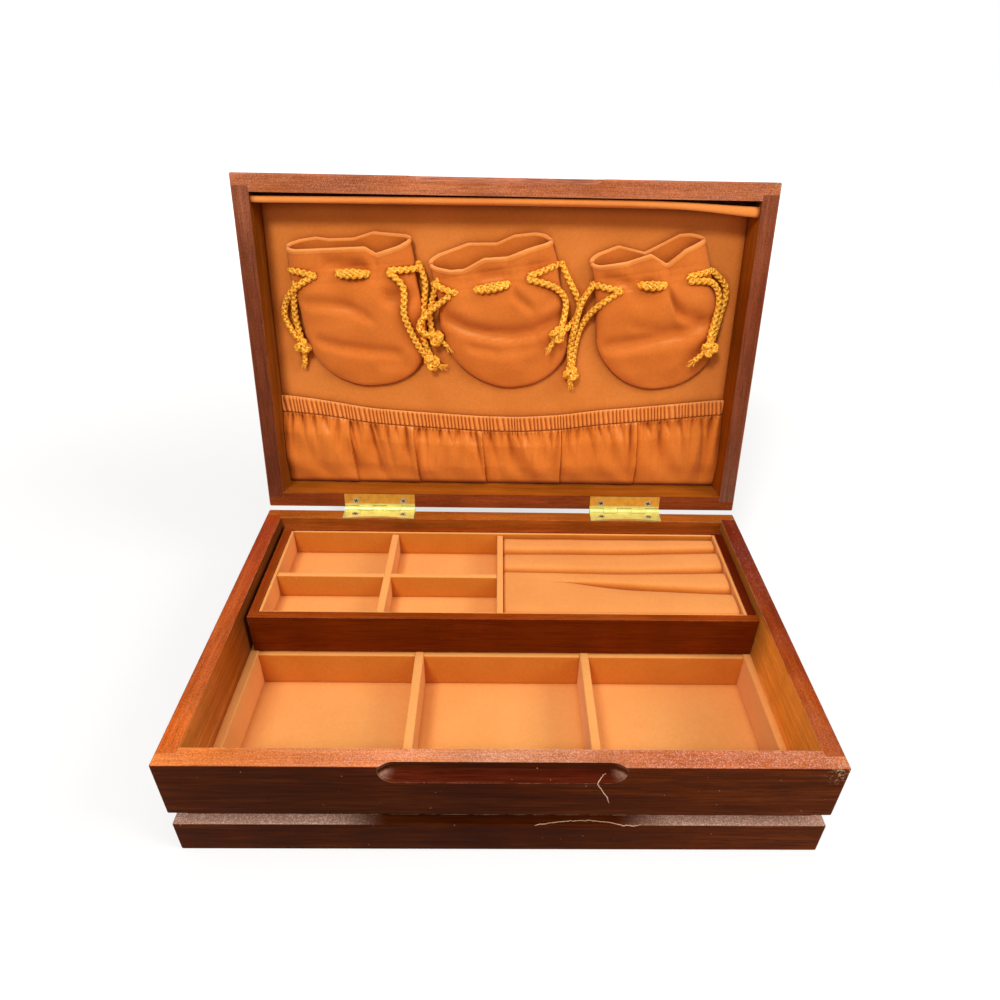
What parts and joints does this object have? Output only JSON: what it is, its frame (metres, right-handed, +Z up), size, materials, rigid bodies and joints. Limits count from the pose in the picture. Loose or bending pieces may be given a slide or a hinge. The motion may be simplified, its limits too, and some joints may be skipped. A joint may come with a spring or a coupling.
{
  "type": "jewelry box",
  "caption": "Wooden jewelry box with a hinged lid, a sliding tray with ring rolls, lined compartments, drawstring pouches and a gathered pocket in the lid.",
  "frame": {"origin": "middle of the base's underside, on the surface the box stands on", "axes": "+X to the right seen from the front, +Y from the front to the hinged back, +Z up; the rest pose has the lid open and the tray at the back"},
  "size_m": [0.3, 0.2606, 0.2545],
  "materials": {
    "mahogany": "satin",
    "tray_wood": "satin",
    "plywood": "matte",
    "lining_fabric": "velvet",
    "pouch_fabric": "velvet",
    "hinge_brass": "polished",
    "gold_cord": "satin"
  },
  "bodies": {
    "base": {"base_front_wall": "mahogany", "base_back_wall": "mahogany", "base_left_wall": "mahogany", "base_right_wall": "mahogany", "base_bottom_panel": "plywood", "base_floor_pad": "lining_fabric", "liner_front": "lining_fabric", "liner_back": "lining_fabric", "liner_left": "lining_fabric", "liner_right": "lining_fabric", "liner_cross_divider": "lining_fabric", "liner_left_divider": "lining_fabric", "liner_right_divider": "lining_fabric", "left_hinge_base_leaf": "hinge_brass", "left_hinge_pin": "hinge_brass", "right_hinge_base_leaf": "hinge_brass", "right_hinge_pin": "hinge_brass", "hinge_base_screws": "hinge_brass"},
    "tray": {"tray_front_wall": "tray_wood", "tray_back_wall": "tray_wood", "tray_left_wall": "tray_wood", "tray_right_wall": "tray_wood", "tray_bottom_panel": "plywood", "tray_floor_pad": "lining_fabric", "tray_lining_front": "lining_fabric", "tray_lining_back": "lining_fabric", "tray_lining_left": "lining_fabric", "tray_lining_right": "lining_fabric", "tray_ring_partition": "lining_fabric", "tray_cross_divider": "lining_fabric", "tray_long_divider": "lining_fabric", "ring_pad_board": "lining_fabric", "ring_roll_1": "lining_fabric", "ring_roll_2": "lining_fabric", "ring_roll_3": "lining_fabric", "ring_roll_4": "lining_fabric"},
    "lid": {"lid_front_wall": "mahogany", "lid_back_wall": "mahogany", "lid_left_wall": "mahogany", "lid_right_wall": "mahogany", "lid_top_panel": "mahogany", "lid_lining_panel": "lining_fabric", "lid_lining_strip": "lining_fabric", "left_hinge_lid_leaf": "hinge_brass", "right_hinge_lid_leaf": "hinge_brass", "hinge_lid_screws": "hinge_brass", "lid_pocket": "lining_fabric", "lid_pocket_elastic": "lining_fabric", "left_pouch": "pouch_fabric", "middle_pouch": "pouch_fabric", "right_pouch": "pouch_fabric", "left_pouch_left_cord": "gold_cord", "left_pouch_right_cord": "gold_cord", "middle_pouch_left_cord": "gold_cord", "middle_pouch_right_cord": "gold_cord", "right_pouch_left_cord": "gold_cord", "right_pouch_right_cord": "gold_cord", "drawcord_knots": "gold_cord", "drawcord_casing_runs": "gold_cord"}
  },
  "joints": [
    {"name": "lid_hinge", "type": "hinge", "parent": "base", "child": "lid", "pos_m": [0, 0.0985, 0.062], "axis": [-1, 0, 0], "range_deg": [-100.4, 0]},
    {"name": "tray_slide", "type": "slide", "parent": "base", "child": "tray", "axis": [0, -1, 0], "range_m": [0, 0.088]}
  ]
}
